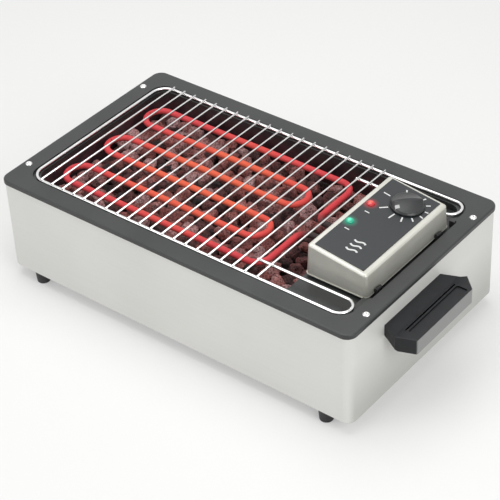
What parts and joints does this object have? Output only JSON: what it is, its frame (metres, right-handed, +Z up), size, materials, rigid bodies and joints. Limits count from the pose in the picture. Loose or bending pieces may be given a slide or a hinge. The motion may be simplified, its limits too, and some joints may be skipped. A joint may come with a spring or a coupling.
{
  "type": "lava stone grill",
  "caption": "Table-top electric grill: stainless casing, enamelled pan with lava stones, tube element under a wire grid, and an inclined control box with a knob and lamps.",
  "frame": {"origin": "on the floor, under the middle of the casing", "axes": "+X to the control box end, -Y to the front, +Z up"},
  "size_m": [0.616, 0.3084, 0.1888],
  "materials": {
    "satin_stainless": "satin rolled stainless sheet",
    "box_stainless": "brushed stainless sheet with bright edges",
    "black_enamel": "dark grey vitreous enamel, semi gloss",
    "galvanised_sheet": "dull galvanised sheet",
    "chrome_wire": "bright chromed wire",
    "bright_screw": "polished screw heads",
    "zinc_hardware": "zinc plated nuts, pins and brackets",
    "blackened_steel": "blackened steel hinge parts",
    "glowing_tube": "metal-clad heating tube, glowing red",
    "lava_rock": "porous broken lava, matt dark brown",
    "black_plastic": "moulded heat-proof plastic, satin",
    "knob_plastic": "moulded black plastic, satin gloss",
    "pointer_white": "white filled pointer line",
    "face_grey": "dark grey printed plate, satin",
    "red_lens": "lit red lens",
    "green_lens": "lit green lens",
    "foot_rubber": "black rubber",
    "ceramic": "glazed ceramic",
    "inner_plastic": "black inner plastic"
  },
  "bodies": {
    "base": {"casing": "satin_stainless", "bottom_plate": "galvanised_sheet", "rubber_foot_front_left": "foot_rubber", "rubber_foot_front_right": "foot_rubber", "rubber_foot_rear_right": "foot_rubber", "rubber_foot_rear_left": "foot_rubber", "foot_screws": "zinc_hardware", "foot_nuts": "zinc_hardware", "enamelled_pan": "black_enamel", "heat_shield": "galvanised_sheet", "rim_screws": "bright_screw", "rim_brackets": "zinc_hardware", "rim_nuts": "zinc_hardware", "handle_right": "black_plastic", "handle_left": "black_plastic", "handle_screws": "zinc_hardware", "lava_stones": "lava_rock", "hinge_brackets": "blackened_steel", "hinge_pins": "blackened_steel"},
    "heater_head": {"control_box_cover": "box_stainless", "control_box_base": "box_stainless", "cover_screws": "zinc_hardware", "rest_pads": "ceramic", "face_plate": "face_grey", "red_lamp_lens": "red_lens", "red_lamp_body": "inner_plastic", "green_lamp_lens": "green_lens", "green_lamp_body": "inner_plastic", "energy_regulator": "inner_plastic", "regulator_screws": "zinc_hardware", "heating_element": "glowing_tube", "element_bracket": "zinc_hardware", "element_gland_nuts": "zinc_hardware", "element_terminals": "zinc_hardware", "terminal_block": "ceramic", "cord_gland": "inner_plastic", "gland_nut": "inner_plastic", "hinge_arms": "blackened_steel"},
    "knob": {"thermostat_knob": "knob_plastic", "knob_pointer": "pointer_white", "regulator_shaft": "zinc_hardware"},
    "grid": {"grid_frame_wire": "chrome_wire", "grid_cross_wires": "chrome_wire"}
  },
  "joints": [
    {"name": "head_tilt", "type": "hinge", "parent": "base", "child": "heater_head", "pos_m": [0.241, 0, 0.1474], "axis": [0, 1, 0], "range_deg": [0, 55]},
    {"name": "knob_turn", "type": "hinge", "parent": "heater_head", "child": "knob", "pos_m": [0.20189, 0.0534, 0.17678], "axis": [0.1305, 0, 0.9914], "range_deg": [0, 306]},
    {"name": "grid_lift", "type": "slide", "parent": "heater_head", "child": "grid", "axis": [0, 0, 1], "range_m": [0, 0.06]}
  ]
}
